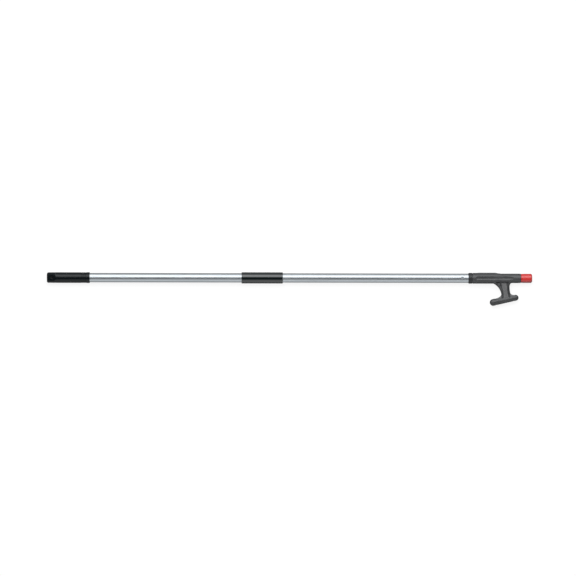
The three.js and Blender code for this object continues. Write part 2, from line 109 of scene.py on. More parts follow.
# The holes for the head's screws, the seats for those screws' heads, and the hole for the plug's pin.
HEAD_SCREWS = ("head_screw_1", "head_screw_2")
SCREW_HOLE_RADIUS = 1.95 * MM
SCREW_SEAT = {"height": 15.5 * MM, "radius": 4.1 * MM}
PIN_HOLE_RADIUS = 1.55 * MM

# The hook head's own sizes, in millimetres from its rear end and from the pole's axis.
SOCKET_RADIUS = 17.4
SOCKET_LENGTH = 76.4
NOSE_START = 92.4
NOSE_RADIUS = 15.3
NOSE_TAPER_START = 150.4
NOSE_END = (CAP_START - HEAD) / MM - 0.1
HEAD_SPIGOT_RADIUS = 11.5
HEAD_SPIGOT_BORE = 8.5
HEAD_SPIGOT_BORE_START = 86.4
REAR_BALL = {"along": 67.8, "radius": 11.1}
FRONT_BALL = {"along": 140.9, "height": -63.1, "radius": 9.7}
BAR_HALF_DEPTH = 10.0
WEB_HALF_DEPTH = 6.0
FLUTE = {"start": 10.4, "full_start": 14.4, "full_end": 120.4, "end": 138.4, "depth": 2.3, "arc": 15.6}
HEAD_VOXEL = 0.64 * MM
HEAD_SMOOTHING = 5


# ---------------------------------------------------------------- mesh helpers

def rounded(corners):
    """(along, radius, fillet) corners as points, with each fillet drawn as an arc."""
    points = []
    for index, (along, radius, fillet) in enumerate(corners):
        here = Vector((along, radius))
        if fillet == 0:
            points.append(here)
            continue
        back = (Vector(corners[index - 1][:2]) - here).normalized()
        ahead = (Vector(corners[(index + 1) % len(corners)][:2]) - here).normalized()
        half_angle = back.angle(ahead) / 2
        reach = fillet / math.tan(half_angle)
        centre = here + (back + ahead).normalized() * (fillet / math.sin(half_angle))
        start = here + back * reach - centre
        end = here + ahead * reach - centre
        for step in range(FILLET_STEPS + 1):
            arm = start.lerp(end, step / FILLET_STEPS).normalized() * fillet
            points.append(centre + arm)
    return points


def lathe(corners, place=POLE, sides=ROUND_SIDES):
    """A closed bmesh turned about its own X axis from corners that run round its section."""
    work = bmesh.new()
    rings = []
    for along, radius in rounded(corners):
        if radius < 1e-7:
            rings.append([work.verts.new((along, 0, 0))])
            continue
        ring = []
        for side in range(sides):
            angle = 2 * math.pi * side / sides
            ring.append(work.verts.new((along, radius * math.cos(angle), radius * math.sin(angle))))
        rings.append(ring)
    pairs = list(zip(rings, rings[1:]))
    if len(rings[0]) > 1:
        pairs.append((rings[-1], rings[0]))
    join_rings(work, pairs, sides)
    work.transform(place)
    bmesh.ops.recalc_face_normals(work, faces=work.faces)
    return work


def join_rings(work, pairs, sides):
    """Faces between neighbouring rings. A ring of one vertex is a point."""
    for first, second in pairs:
        for side in range(sides):
            after = (side + 1) % sides
            loop = [
                first[side % len(first)],
                first[after % len(first)],
                second[after % len(second)],
                second[side % len(second)],
            ]
            work.faces.new(list(dict.fromkeys(loop)))


def close_run(work, rings, sides):
    """Faces along a run of rings, and over the ring at each end."""
    join_rings(work, list(zip(rings, rings[1:])), sides)
    work.faces.new(rings[0])
    work.faces.new(rings[-1])
    bmesh.ops.recalc_face_normals(work, faces=work.faces)


def rod(start, end, radius, place=POLE, sides=SMALL_SIDES):
    """A closed bmesh of a straight round bar along its own X axis."""
    return lathe([(start, 0, 0), (start, radius, 0), (end, radius, 0), (end, 0, 0)], place, sides)


def across_pole(station):
    """A matrix whose X axis runs straight down through the pole's axis at a place along it."""
    return Matrix.Translation(AXIS + Vector((station, 0, 0))) @ Matrix.Rotation(math.pi / 2, 4, "Y")


def prism(outline, low, high, to_space):
    """A closed bmesh between two heights over an outline of 2-D points, placed by to_space."""
    work = bmesh.new()
    bottom = [work.verts.new((x, y, low)) for x, y in outline]
    top = [work.verts.new((x, y, high)) for x, y in outline]
    work.faces.new(bottom)
    work.faces.new(top)
    join_rings(work, [(bottom, top)], len(outline))
    work.transform(to_space)
    bmesh.ops.recalc_face_normals(work, faces=work.faces)
    return work


def as_object(name, work):
    """Turns a bmesh into an object in the scene, and frees the bmesh."""
    mesh = bpy.data.meshes.new(name)
    work.to_mesh(mesh)
    work.free()
    item = bpy.data.objects.new(name, mesh)
    bpy.context.scene.collection.objects.link(item)
    return item


def settle(item):
    """Puts the result of an object's modifiers into its mesh."""
    bpy.context.view_layer.update()
    evaluated = item.evaluated_get(bpy.context.evaluated_depsgraph_get())
    mesh = bpy.data.meshes.new_from_object(evaluated)
    item.modifiers.clear()
    item.data = mesh


def carve(item, cutters):
    """Cuts each of the cutters, given as bmeshes, out of an object."""
    helpers = [as_object("cutter", work) for work in cutters]
    for helper in helpers:
        cut = item.modifiers.new("cut", "BOOLEAN")
        cut.operation = "DIFFERENCE"
        cut.solver = "EXACT"
        cut.object = helper
    settle(item)
    for helper in helpers:
        bpy.data.objects.remove(helper)


def shade(item):
    """Smooth shading that keeps real edges sharp."""
    item.data.shade_smooth()
    item.data.set_sharp_from_angle(angle=SHARP_ANGLE)


def stand_for(item, node, material, body):
    """Finishes a piece that stands for one CAD node."""
    shade(item)
    item.data.materials.clear()
    item.data.materials.append(material)
    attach(item, body)
    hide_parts(node)


# ---------------------------------------------------------------- materials

class Finish:
    """A procedural material round one Principled shader, in the object's own space."""

    def __init__(self, name, color, **sockets):
        self.material = bpy.data.materials.new(name)
        self.material.use_nodes = True
        self.tree = self.material.node_tree
        self.shader = self.tree.nodes["Principled BSDF"]
        self.shader.inputs["Base Color"].default_value = (*color, 1)
        for socket, value in sockets.items():
            self.shader.inputs[socket.replace("_", " ")].default_value = value
        coordinates = self.tree.nodes.new("ShaderNodeTexCoord")
        self.space = coordinates.outputs["Object"]
        self.normal = coordinates.outputs["Normal"]

    def node(self, kind, **settings):
        made = self.tree.nodes.new(kind)
        for name, value in settings.items():
            setattr(made, name, value)
        return made

    def link(self, source, target):
        self.tree.links.new(source, target)

    def noise(self, scale, *, detail, stretch=(1, 1, 1)):
        """A noise value from 0 to 1, with scale in features a metre, stretched along the axes."""
        mapping = self.node("ShaderNodeMapping")
        mapping.inputs["Scale"].default_value = [scale * s for s in stretch]
        texture = self.node("ShaderNodeTexNoise")
        texture.inputs["Scale"].default_value = 1.0
        texture.inputs["Detail"].default_value = detail
        self.link(self.space, mapping.inputs["Vector"])
        self.link(mapping.outputs["Vector"], texture.inputs["Vector"])
        return texture.outputs["Fac"]

    def spread(self, value, low, high, out_low, out_high):
        """A value mapped from one range to another and held inside it."""
        mapped = self.node("ShaderNodeMapRange")
        limits = {"From Min": low, "From Max": high, "To Min": out_low, "To Max": out_high}
        for socket, number in limits.items():
            mapped.inputs[socket].default_value = number
        self.link(value, mapped.inputs["Value"])
        return mapped.outputs["Result"]

    def combine(self, operation, first, second=0.0):
        """One step of arithmetic on values. The second may be a number."""
        math_node = self.node("ShaderNodeMath", operation=operation)
        self.link(first, math_node.inputs[0])
        if isinstance(second, float):
            math_node.inputs[1].default_value = second
        else:
            self.link(second, math_node.inputs[1])
        return math_node.outputs[0]

    def tint(self, factor, low_color, high_color):
        """The base colour, mixed from one colour to another by a value."""
        mix = self.node("ShaderNodeMix", data_type="RGBA")
        mix.inputs["A"].default_value = (*low_color, 1)
        mix.inputs["B"].default_value = (*high_color, 1)
        self.link(factor, mix.inputs["Factor"])
        self.link(mix.outputs["Result"], self.shader.inputs["Base Color"])

    def rough(self, value):
        self.link(value, self.shader.inputs["Roughness"])

    def bump(self, value, height, strength):
        """Surface relief of the given height in metres."""
        relief = self.node("ShaderNodeBump")
        relief.inputs["Distance"].default_value = height
        relief.inputs["Strength"].default_value = strength
        self.link(value, relief.inputs["Height"])
        self.link(relief.outputs["Normal"], self.shader.inputs["Normal"])


def edge_wear(finish):
    """A broken mask along the outer edges of a finely meshed piece."""
    pointiness = finish.node("ShaderNodeNewGeometry").outputs["Pointiness"]
    edges = finish.spread(pointiness, 0.53, 0.6, 0.0, 1.0)
    breaks = finish.spread(finish.noise(260, detail=6.0), 0.42, 0.62, 0.0, 1.0)
    return finish.combine("MULTIPLY", edges, breaks)


def painted_light_on_stem_floors(finish):
    """A mask for painted light on the flat floors of the stem's hollows, which face straight up or down, made
    uneven by noise.
    """
    place = finish.node("ShaderNodeSeparateXYZ")
    facing = finish.node("ShaderNodeSeparateXYZ")
    finish.link(finish.space, place.inputs["Vector"])
    finish.link(finish.normal, facing.inputs["Vector"])
    height = finish.combine("ABSOLUTE", finish.combine("SUBTRACT", place.outputs["Z"], AXIS.z))
    low = finish.spread(height, (WEB_HALF_DEPTH + 0.1) * MM, (WEB_HALF_DEPTH + 0.9) * MM, 1.0, 0.0)
    flat = finish.spread(finish.combine("ABSOLUTE", facing.outputs["Z"]), 0.9, 0.98, 0.0, 1.0)
    below = AXIS.y - SOCKET_RADIUS * MM
    on_stem = finish.spread(place.outputs["Y"], below, below + 2 * MM, 1.0, 0.0)
    uneven = finish.spread(finish.noise(120, detail=5.0), 0.3, 0.6, 0.75, 1.0)
    floors = finish.combine("MULTIPLY", low, flat)
    return finish.combine("MULTIPLY", floors, finish.combine("MULTIPLY", on_stem, uneven))


def anodised_aluminium(name, color, dull):
    """Drawn and anodised tube: fine lengthwise lines, faint handling marks, brighter along than across."""
    finish = Finish(name, color, Metallic=1.0, Anisotropic=0.35)
    lines = finish.noise(1, stretch=(2.5, 1900, 1900), detail=4.0)
    marks = finish.noise(9, stretch=(1, 5, 5), detail=5.0)
    scuffs = finish.spread(finish.noise(1, stretch=(40, 1200, 1200), detail=2.0), 0.66, 0.74, 0.0, 0.1)
    smooth = finish.spread(lines, 0.3, 0.7, dull - 0.04, dull + 0.04)
    smudged = finish.combine("ADD", smooth, finish.spread(marks, 0.45, 0.7, 0.0, 0.07))
    finish.rough(finish.combine("ADD", smudged, scuffs))
    finish.tint(finish.spread(lines, 0.3, 0.7, 0.0, 1.0), color, [min(1, c * 1.12) for c in color])
    finish.bump(lines, 0.004 * MM, 0.5)
    tangent = finish.node("ShaderNodeTangent", direction_type="RADIAL", axis="X")
    finish.link(tangent.outputs["Tangent"], finish.shader.inputs["Tangent"])
    return finish.material


def black_vinyl(name, color, dull, gloss):
    """Smooth black grip vinyl with a soft waxy gloss, faint mould grain and rubbed patches."""
    finish = Finish(name, color, Specular_IOR_Level=gloss)
    grain = finish.noise(1600, detail=3.0)
    patches = finish.noise(26, stretch=(1, 2, 2), detail=5.0)
    rubbed = finish.spread(patches, 0.5, 0.72, 0.0, 0.06)
    finish.rough(finish.combine("ADD", finish.spread(grain, 0.3, 0.7, dull - 0.03, dull + 0.03), rubbed))
    dust = finish.spread(finish.noise(420, detail=6.0), 0.62, 0.8, 0.0, 1.0)
    finish.tint(dust, color, [c + 0.004 for c in color])
    finish.bump(grain, 0.02 * MM, 0.35)
    return finish.material


def moulded_nylon(name, color, pale_color, dull, hollows=None):
    """Glass-filled nylon: fine spark-eroded grain, faint flow mottle, paler rubbed edges, and painted light
    on the floors that a given hollows mask picks out.
    """
    finish = Finish(name, color, Specular_IOR_Level=0.45)
    grain = finish.noise(1500, detail=4.0)
    flow = finish.noise(45, stretch=(0.6, 1, 1), detail=4.0)
    wear = edge_wear(finish)
    mottle = finish.spread(flow, 0.35, 0.7, 0.0, 0.22)
    pale = finish.combine("MAXIMUM", mottle, wear)
    # Painted light: with a hollows mask, the flat floors it picks out get the paler colour too.
    if hollows:
        pale = finish.combine("MAXIMUM", pale, hollows(finish))
    finish.tint(pale, color, pale_color)
    finish.rough(finish.combine("ADD", finish.spread(grain, 0.3, 0.7, dull - 0.05, dull + 0.06), mottle))
    finish.bump(grain, 0.05 * MM, 0.45)
    return finish.material


def red_vinyl(name, color, pale_color):
    """Soft red dipped vinyl: even and slightly glossy, with scuffs round its end."""
    finish = Finish(name, color, Specular_IOR_Level=0.8, Subsurface_Weight=0.05)
    finish.shader.inputs["Subsurface Radius"].default_value = (1.0, 0.3, 0.2)
    finish.shader.inputs["Subsurface Scale"].default_value = 1.5 * MM
    patches = finish.noise(60, detail=4.0)
    grain = finish.noise(900, detail=3.0)
    scuffs = finish.spread(finish.noise(700, stretch=(0.3, 1, 1), detail=2.0), 0.66, 0.76, 0.0, 0.6)
    pale = finish.combine("MAXIMUM", finish.spread(patches, 0.4, 0.75, 0.0, 0.35), scuffs)
    rubbed = finish.spread(patches, 0.4, 0.7, 0.0, 0.08)
    finish.tint(pale, color, pale_color)
    finish.rough(finish.combine("ADD", finish.spread(grain, 0.3, 0.7, 0.3, 0.38), rubbed))
    finish.bump(grain, 0.03 * MM, 0.3)
    return finish.material


def foam(name):
    """Closed-cell buoyancy foam with visible cells."""
    finish = Finish(name, (0.8, 0.78, 0.7))
    cells = finish.node("ShaderNodeTexVoronoi")
    cells.inputs["Scale"].default_value = 900
    finish.link(finish.space, cells.inputs["Vector"])
    finish.tint(finish.noise(60, detail=5.0), (0.72, 0.7, 0.6), (0.86, 0.85, 0.78))
    finish.rough(finish.spread(cells.outputs["Distance"], 0.0, 0.8, 0.85, 0.98))
    finish.bump(cells.outputs["Distance"], 0.4 * MM, 0.7)
    return finish.material


def stainless_steel(name):
    """Turned stainless fastener with fine rings and a little tarnish."""
    finish = Finish(name, (0.55, 0.55, 0.54), Metallic=1.0)
    tarnish = finish.noise(350, detail=5.0)
    finish.tint(finish.spread(tarnish, 0.4, 0.75, 0.0, 1.0), (0.6, 0.6, 0.59), (0.42, 0.4, 0.37))
    finish.rough(finish.spread(tarnish, 0.3, 0.7, 0.2, 0.38))
    finish.bump(finish.noise(2600, detail=2.0), 0.01 * MM, 0.4)
    return finish.material


def seal_rubber(name):
    """Matt black nitrile with a dusty bloom."""
    finish = Finish(name, (0.012, 0.012, 0.013))
    bloom = finish.noise(500, detail=5.0)
    finish.tint(finish.spread(bloom, 0.5, 0.8, 0.0, 1.0), (0.012, 0.012, 0.013), (0.05, 0.05, 0.05))
    finish.rough(finish.spread(bloom, 0.3, 0.7, 0.6, 0.8))
    finish.bump(finish.noise(1800, detail=3.0), 0.03 * MM, 0.5)
    return finish.material


LOOKS = {
    "tube": anodised_aluminium("anodised_tube", (0.47, 0.495, 0.515), 0.36),
    "grip": black_vinyl("grip_vinyl", (0.0008, 0.0016, 0.002), 0.26, 0.28),
    "sleeve": black_vinyl("sleeve_vinyl", (0.001, 0.0022, 0.0024), 0.09, 0.9),
    # The head's nylon has painted light on the flat floors of its stem's hollows.
    "head_nylon": moulded_nylon(
        "head_nylon", (0.017, 0.0175, 0.0182), (0.052, 0.052, 0.053), 0.27, painted_light_on_stem_floors
    ),
    "lock_nylon": moulded_nylon("lock_nylon", (0.005, 0.0055, 0.006), (0.03, 0.03, 0.03), 0.4),
    "tip_red": red_vinyl("tip_vinyl", (0.22, 0.006, 0.005), (0.30, 0.018, 0.015)),
    "foam": foam("buoyancy_foam"),
    "steel": stainless_steel("stainless_steel"),
    "seal_rubber": seal_rubber("seal_rubber"),
}


# ---------------------------------------------------------------- the outer tube and what is on it

def dimple_depth(item_x, item_y):
    """How far the staked dimples press the wall in at a place, seen along Z."""
    reach = math.hypot(item_x - DIMPLE["station"], item_y - AXIS.y) / DIMPLE["radius"]
    return DIMPLE["depth"] * (1 - reach ** DIMPLE["profile"]) if reach < 1 else 0


def outer_tube():
    """The drawn outer tube, with softened ends and the two staked dimples near its mouth."""
    bore = TUBE_RADIUS - TUBE_WALL
    edge = 0.4 * MM
    spacing, half_count = 0.5 * MM, 13
    fine = [DIMPLE["station"] + step * spacing for step in range(-half_count, half_count + 1)]
    outside = [(x, TUBE_RADIUS, 0) for x in fine]
    inside = [(x, bore, 0) for x in reversed(fine)]
    corners = [(TUBE_START, bore, edge), (TUBE_START, TUBE_RADIUS, edge), *outside]
    corners += [(MOUTH, TUBE_RADIUS, edge), (MOUTH, bore, edge), *inside]
    work = lathe(corners)
    for vertex in work.verts:
        side = 1 if vertex.co.z > AXIS.z else -1
        vertex.co.z -= side * dimple_depth(vertex.co.x, vertex.co.y)
    return as_object("outer_tube_look", work)


def end_grip():
    """The butt grip: rounded end, lanyard flats and hole, grip grooves and a raised lip."""
    solid_end = TUBE_START - 0.1 * MM
    bore = TUBE_RADIUS + GLUE_GAP
    taper_length, end_radius, end_fillet = 40 * MM, GRIP_RADIUS - 0.7 * MM, 4.5 * MM
    lip_start, body = GRIP_END - 8 * MM, GRIP_RADIUS - 0.4 * MM
    grooves, pitch, before_lip = 3, 6 * MM, 5 * MM
    depth, half_width, fillet = 0.8 * MM, 1.3 * MM, 0.5 * MM
    corners = [(BUTT, 0, 0), (BUTT, end_radius, end_fillet), (BUTT + taper_length, body, 0)]
    for index in range(grooves):
        middle = lip_start - before_lip - (grooves - 1 - index) * pitch
        corners += [
            (middle - half_width, body, fillet),
            (middle, body - depth, fillet),
            (middle + half_width, body, fillet),
        ]
    corners += [
        (lip_start, body, 0.6 * MM),
        (lip_start + 1.2 * MM, GRIP_RADIUS, 0.6 * MM),
        (GRIP_END, GRIP_RADIUS, 1 * MM),
        (GRIP_END, bore, 0.3 * MM),
        (solid_end, bore, 0),
        (solid_end, 0, 0),
    ]
    item = as_object("end_grip_look", lathe(corners))
    carve(item, [grip_flat(1), grip_flat(-1), lanyard_hole()])
    soften(item, 0.8 * MM)
    return item


def grip_flat(side):
    """The cutter for one lanyard flat, which runs out to the round grip."""
    radius, steps = FLAT_RUNOUT["radius"], FLAT_RUNOUT["steps"]
    far = GRIP_RADIUS + PAST
    outline = [(BUTT - PAST, FLAT_HEIGHT), (FLAT_END, FLAT_HEIGHT)]
    for step in range(1, steps + 1):
        turn = step / steps * FLAT_RUNOUT["turn"]
        rise = radius * (1 - math.cos(turn))
        outline.append((FLAT_END + radius * math.sin(turn), FLAT_HEIGHT + rise))
    last_along, last_height = outline[-1]
    outline.append((last_along + far - last_height, far))
    outline.append((BUTT - PAST, far))
    upright = Matrix.Rotation(side * math.pi / 2, 4, "X")
    return prism(outline, -far, far, POLE @ upright)


def lanyard_hole():
    """The cutter for the hole across the grip's end, flared where it meets the flats."""
    far, radius, flare = 18 * MM, LANYARD_HOLE_RADIUS, 1.2 * MM
    corners = [(-far, 0, 0), (-far, radius + flare, 0), (-FLAT_HEIGHT, radius + flare, 0)]
    corners += [(-FLAT_HEIGHT + flare, radius, 0), (FLAT_HEIGHT - flare, radius, 0)]
    corners += [(FLAT_HEIGHT, radius + flare, 0), (far, radius + flare, 0), (far, 0, 0)]
    return lathe(corners, across_pole(LANYARD_HOLE), SMALL_SIDES)


def soften(item, width):
    """Rounds the edges that carving leaves, apart from the shallow ones."""
    bevel = item.modifiers.new("soften", "BEVEL")
    bevel.width = width
    bevel.segments = 3
    bevel.limit_method = "ANGLE"
    bevel.angle_limit = math.radians(35)
    bevel.use_clamp_overlap = True
    settle(item)


def mid_grip():
    """The sleeve for the second hand, with rounded ends and faint rings along it."""
    bore = TUBE_RADIUS + GLUE_GAP
    pitch, depth, half_width = 14.6 * MM, 0.22 * MM, 1.2 * MM
    inner_fillet, outer_fillet = 0.3 * MM, 1.3 * MM
    corners = [(SLEEVE_START, bore, inner_fillet), (SLEEVE_START, SLEEVE_RADIUS, outer_fillet)]
    count = int((SLEEVE_END - SLEEVE_START) / pitch)
    first = (SLEEVE_START + SLEEVE_END - (count - 1) * pitch) / 2
    for index in range(count):
        middle = first + index * pitch
        corners += [
            (middle - half_width, SLEEVE_RADIUS, 0),
            (middle, SLEEVE_RADIUS - depth, 0),
            (middle + half_width, SLEEVE_RADIUS, 0),
        ]
    corners += [(SLEEVE_END, SLEEVE_RADIUS, outer_fillet), (SLEEVE_END, bore, inner_fillet)]
    return as_object("mid_grip_look", lathe(corners))


def guide_bushing():
    """The collar in the tube's mouth, with its spigot, wiper groove and dimple windows."""
    bore = INNER_RADIUS + RUNNING_GAP
    spigot = TUBE_RADIUS - TUBE_WALL - RUNNING_GAP
    face = MOUTH + RUNNING_GAP
    corners = [
        (SPIGOT_START, bore, 0),
        (SPIGOT_START, spigot, 0.6 * MM),
        (face, spigot, 0),
        (face, COLLAR_RADIUS, 0.9 * MM),
        (COLLAR_END, COLLAR_RADIUS, 0.9 * MM),
        (COLLAR_END, bore, 0.5 * MM),
        (WIPER_END + GLUE_GAP, bore, 0),
        (WIPER_END + GLUE_GAP, WIPER_RADIUS + GLUE_GAP, 0),
        (WIPER_START - GLUE_GAP, WIPER_RADIUS + GLUE_GAP, 0),
        (WIPER_START - GLUE_GAP, bore, 0),
    ]
    item = as_object("guide_bushing_look", lathe(corners))
    window_radius = DIMPLE["radius"] + 1.5 * MM
    carve(item, [rod(-TUBE_RADIUS, TUBE_RADIUS, window_radius, across_pole(DIMPLE["station"]))])
    return item


# ---------------------------------------------------------------- the inner tube, the head and the cap

def screw_place(node):
    """A matrix whose X axis runs up the middle of a head screw, from the pole's axis."""
    low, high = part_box(node)
    foot = Vector(((low.x + high.x) / 2, AXIS.y, AXIS.z))
    return Matrix.Translation(foot) @ Matrix.Rotation(math.pi / 2, 4, "Z")


def inner_tube():
    """The drawn inner tube, drilled for the plug's pin and the head's screws."""
    bore = INNER_RADIUS - INNER_WALL
    edge = 0.4 * MM
    corners = [(INNER_START, bore, edge), (INNER_START, INNER_RADIUS, edge)]
    corners += [(INNER_END, INNER_RADIUS, edge), (INNER_END, bore, edge)]
    item = as_object("inner_tube_look", lathe(corners))
    cutters = []
    for node in HEAD_SCREWS:
        cutters.append(rod(0, TUBE_RADIUS, SCREW_HOLE_RADIUS, screw_place(node)))
    low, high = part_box("cam_plug_pin")
    cutters.append(rod(-TUBE_RADIUS, TUBE_RADIUS, PIN_HOLE_RADIUS, across_pole((low.x + high.x) / 2)))
    carve(item, cutters)
    return item


def head_space():
    """From millimetres from the head's rear end and the pole's axis to the frame."""
    return Matrix.Translation(AXIS + Vector((HEAD, 0, 0))) @ Matrix.Scale(MM, 4)


def trunk_radius(along):
    """The radius of the socket, the slope and the nose at a place along the head."""
    share = min(1, max(0, (along - SOCKET_LENGTH) / (NOSE_START - SOCKET_LENGTH)))
    return SOCKET_RADIUS + share * (NOSE_RADIUS - SOCKET_RADIUS)


def head_trunk():
    """The socket, nose and spigot, still solid."""
    return lathe(
        [
            (0, 0, 0),
            (0, SOCKET_RADIUS, 1.2),
            (SOCKET_LENGTH, SOCKET_RADIUS, 6),
            (NOSE_START, NOSE_RADIUS, 6),
            (NOSE_TAPER_START, NOSE_RADIUS, 4),
            (NOSE_END, CAP_RADIUS / MM, 0.8),
            (NOSE_END, HEAD_SPIGOT_RADIUS, 0),
            ((HEAD_SPIGOT_END - HEAD) / MM, HEAD_SPIGOT_RADIUS, 1),
            ((HEAD_SPIGOT_END - HEAD) / MM, 0, 0),
        ],
        Matrix.Identity(4),
    )


def side_flute(side):
    """The cutter for the hollow flute along one side of the head, which runs out to a point on the nose."""
    work = bmesh.new()
    rings = []
    steps = 64
    for step in range(steps + 1):
        along = FLUTE["start"] + (FLUTE["end"] - FLUTE["start"]) * step / steps
        entry = (along - FLUTE["start"]) / (FLUTE["full_start"] - FLUTE["start"])
        runout = (FLUTE["end"] - along) / (FLUTE["end"] - FLUTE["full_end"])
        depth = FLUTE["depth"] * min(1, entry, runout)
        middle = trunk_radius(along) - depth + FLUTE["arc"]
        ring = []
        for index in range(ROUND_SIDES):
            angle = 2 * math.pi * index / ROUND_SIDES
            height = FLUTE["arc"] * math.sin(angle)
            ring.append(work.verts.new((along, height, side * (middle + FLUTE["arc"] * math.cos(angle)))))
        rings.append(ring)
    close_run(work, rings, ROUND_SIDES)
    return work


def bend(start, pull, end, steps=10):
    """Points along a quadratic curve, without its first point."""
    points = []
    for step in range(1, steps + 1):
        t = step / steps
        first = Vector(start).lerp(Vector(pull), t)
        points.append(first.lerp(Vector(pull).lerp(Vector(end), t), t))
    return points


def stem_outline():
    """The stem's outline in the hook's plane: swept back at the rear, nearly straight in front."""
    outline = [Vector((63.4, -8)), Vector((65.4, -13.5))]
    outline += bend((65.4, -13.5), (67.4, -17.2), (71.4, -18.6))
    outline += bend((71.4, -18.6), (91, -30), (94.7, -51.7))
    outline += bend((94.7, -51.7), (95, -60.2), (77.4, -65.8))
    outline += [Vector((80.4, -72)), Vector((138.4, -61)), Vector((140.4, -54.6)), Vector((133.4, -53.8))]
    outline += bend((133.4, -53.8), (124.4, -53.4), (122.8, -46))
    outline += bend((122.8, -46), (119, -24), (123.2, -18.6))
    outline += bend((123.2, -18.6), (125.9, -15), (132.4, -14.2))
    outline.append(Vector((134.4, -8)))
    return outline


def rib(path, half_widths, half_depths):
    """A rounded rib along a path in the hook's plane, whose width and depth change evenly along it."""
    work = bmesh.new()
    rings = []
    sides = 32
    for index, point in enumerate(path):
        share = index / (len(path) - 1)
        width = half_widths[0] + share * (half_widths[1] - half_widths[0])
        depth = half_depths[0] + share * (half_depths[1] - half_depths[0])
        run = (path[min(index + 1, len(path) - 1)] - path[max(index - 1, 0)]).normalized()
        across = Vector((-run.y, run.x))
        ring = []
        for side in range(sides):
            angle = 2 * math.pi * side / sides
            flat = point + across * (width * math.cos(angle))
            ring.append(work.verts.new((flat.x, flat.y, depth * math.sin(angle))))
        rings.append(ring)
    close_run(work, rings, sides)
    return work


def stem_ribs():
    """The rear, middle, front and short ribs, which leave hollows on both faces of the stem."""
    rear = [Vector((66, -9))] + bend((66, -9), (69, -13), (74, -15.8), 4)
    rear += bend((74, -15.8), (94.3, -27.9), (98.2, -51.1), 12) + [Vector((98.6, -66))]
    divider = [Vector((90, -8))] + bend((90, -8), (91, -22), (97, -40), 8)
    front = [Vector((126, -8))] + bend((126, -8), (116, -14), (116.8, -30), 8)
    front += bend((116.8, -30), (117, -40), (118.6, -48), 4) + [Vector((121.5, -62))]
    short = [Vector((112.4, -8)), Vector((112.8, -16)), Vector((113.6, -25))]
    return [
        rib(rear, (3.8, 3.8), (14, 8.5)),
        rib(divider, (2.2, 3.4), (13, 8.5)),
        rib(front, (3.0, 4.2), (13, 8.5)),
        rib(short, (1.7, 1.7), (12, 8.5)),
    ]


def hook_bar():
    """The bar across the stem's foot: a ball and a shallow neck at each end, and a straight taper between."""
    rear = Vector((REAR_BALL["along"], BAR_BOTTOM / MM + REAR_BALL["radius"]))
    front = Vector((FRONT_BALL["along"], FRONT_BALL["height"]))
    length = (front - rear).length
    rear_radius, front_radius = REAR_BALL["radius"], FRONT_BALL["radius"]
    lean = math.asin((rear_radius - front_radius) / length)
    rear_neck, front_neck, neck_depth, neck_half = 9, length - 8, 0.7, 2.2
    corners = [(-rear_radius, 0, 0)]
    steps = 24
    for step in range(1, steps + 1):
        angle = -math.pi / 2 + step / steps * (math.pi / 2 + lean)
        corners.append((rear_radius * math.sin(angle), rear_radius * math.cos(angle), 0))
    for middle in (rear_neck, front_neck):
        for offset in (-neck_half, 0, neck_half):
            share = (middle + offset) / length
            radius = rear_radius + share * (front_radius - rear_radius)
            corners.append((middle + offset, radius - (neck_depth if offset == 0 else 0), 0))
    for step in range(steps):
        angle = lean + step / steps * (math.pi / 2 - lean)
        corners.append((length + front_radius * math.sin(angle), front_radius * math.cos(angle), 0))
    corners.append((length + front_radius, 0, 0))
    turn = Matrix.Rotation(math.atan2(front.y - rear.y, front.x - rear.x), 4, "Z")
    flatten = Matrix.Diagonal((1, 1, BAR_HALF_DEPTH / rear_radius, 1))
    return lathe(corners, Matrix.Translation(rear.to_3d()) @ turn @ flatten, BAR_SIDES)


def head_pad():
    """The raised pad along the top of the socket, with sloped ends."""
    top = (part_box("hook_head")[1].y - AXIS.y) / MM
    start, end, slope, foot, half_width = 14.4, 79.4, 3.5, 12, 6
    outline = [(start, foot), (end, foot), (end - slope, top), (start + slope, top)]
    return prism(outline, -half_width, half_width, Matrix.Identity(4))


def hook_head():
    """The head, moulded in one piece: its parts run together, then its corners are rounded."""
    trunk = as_object("hook_head_look", head_trunk())
    carve(trunk, [side_flute(1), side_flute(-1)])
    joined = bmesh.new()
    joined.from_mesh(trunk.data)
    web = prism(stem_outline(), -WEB_HALF_DEPTH, WEB_HALF_DEPTH, Matrix.Identity(4))
    for part in [web, hook_bar(), head_pad(), *stem_ribs()]:
        mesh = bpy.data.meshes.new("part")
        part.to_mesh(mesh)
        part.free()
        joined.from_mesh(mesh)
        bpy.data.meshes.remove(mesh)
    joined.transform(head_space())
    joined.to_mesh(trunk.data)
    joined.free()
    remesh = trunk.modifiers.new("run_together", "REMESH")
    remesh.mode = "VOXEL"
    remesh.voxel_size = HEAD_VOXEL
    smooth = trunk.modifiers.new("round_corners", "SMOOTH")
    smooth.factor = 0.5
    smooth.iterations = HEAD_SMOOTHING
    settle(trunk)
    carve(trunk, head_bores())
    return trunk


def head_bores():
    """The cutters for the tube's socket, the hollow spigot and the two screws."""
    socket_floor = INNER_END + 0.5 * MM
    bore_start = HEAD + HEAD_SPIGOT_BORE_START * MM
    bores = [
        rod(HEAD - PAST, socket_floor, INNER_RADIUS + GLUE_GAP, sides=ROUND_SIDES),
        rod(bore_start, HEAD_SPIGOT_END + PAST, HEAD_SPIGOT_BORE * MM, sides=ROUND_SIDES),
    ]
    for node in HEAD_SCREWS:
        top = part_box(node)[1].y - AXIS.y
        bores.append(rod(0, top, SCREW_HOLE_RADIUS, screw_place(node)))
        bores.append(rod(SCREW_SEAT["height"], top + PAST, SCREW_SEAT["radius"], screw_place(node)))
    return bores


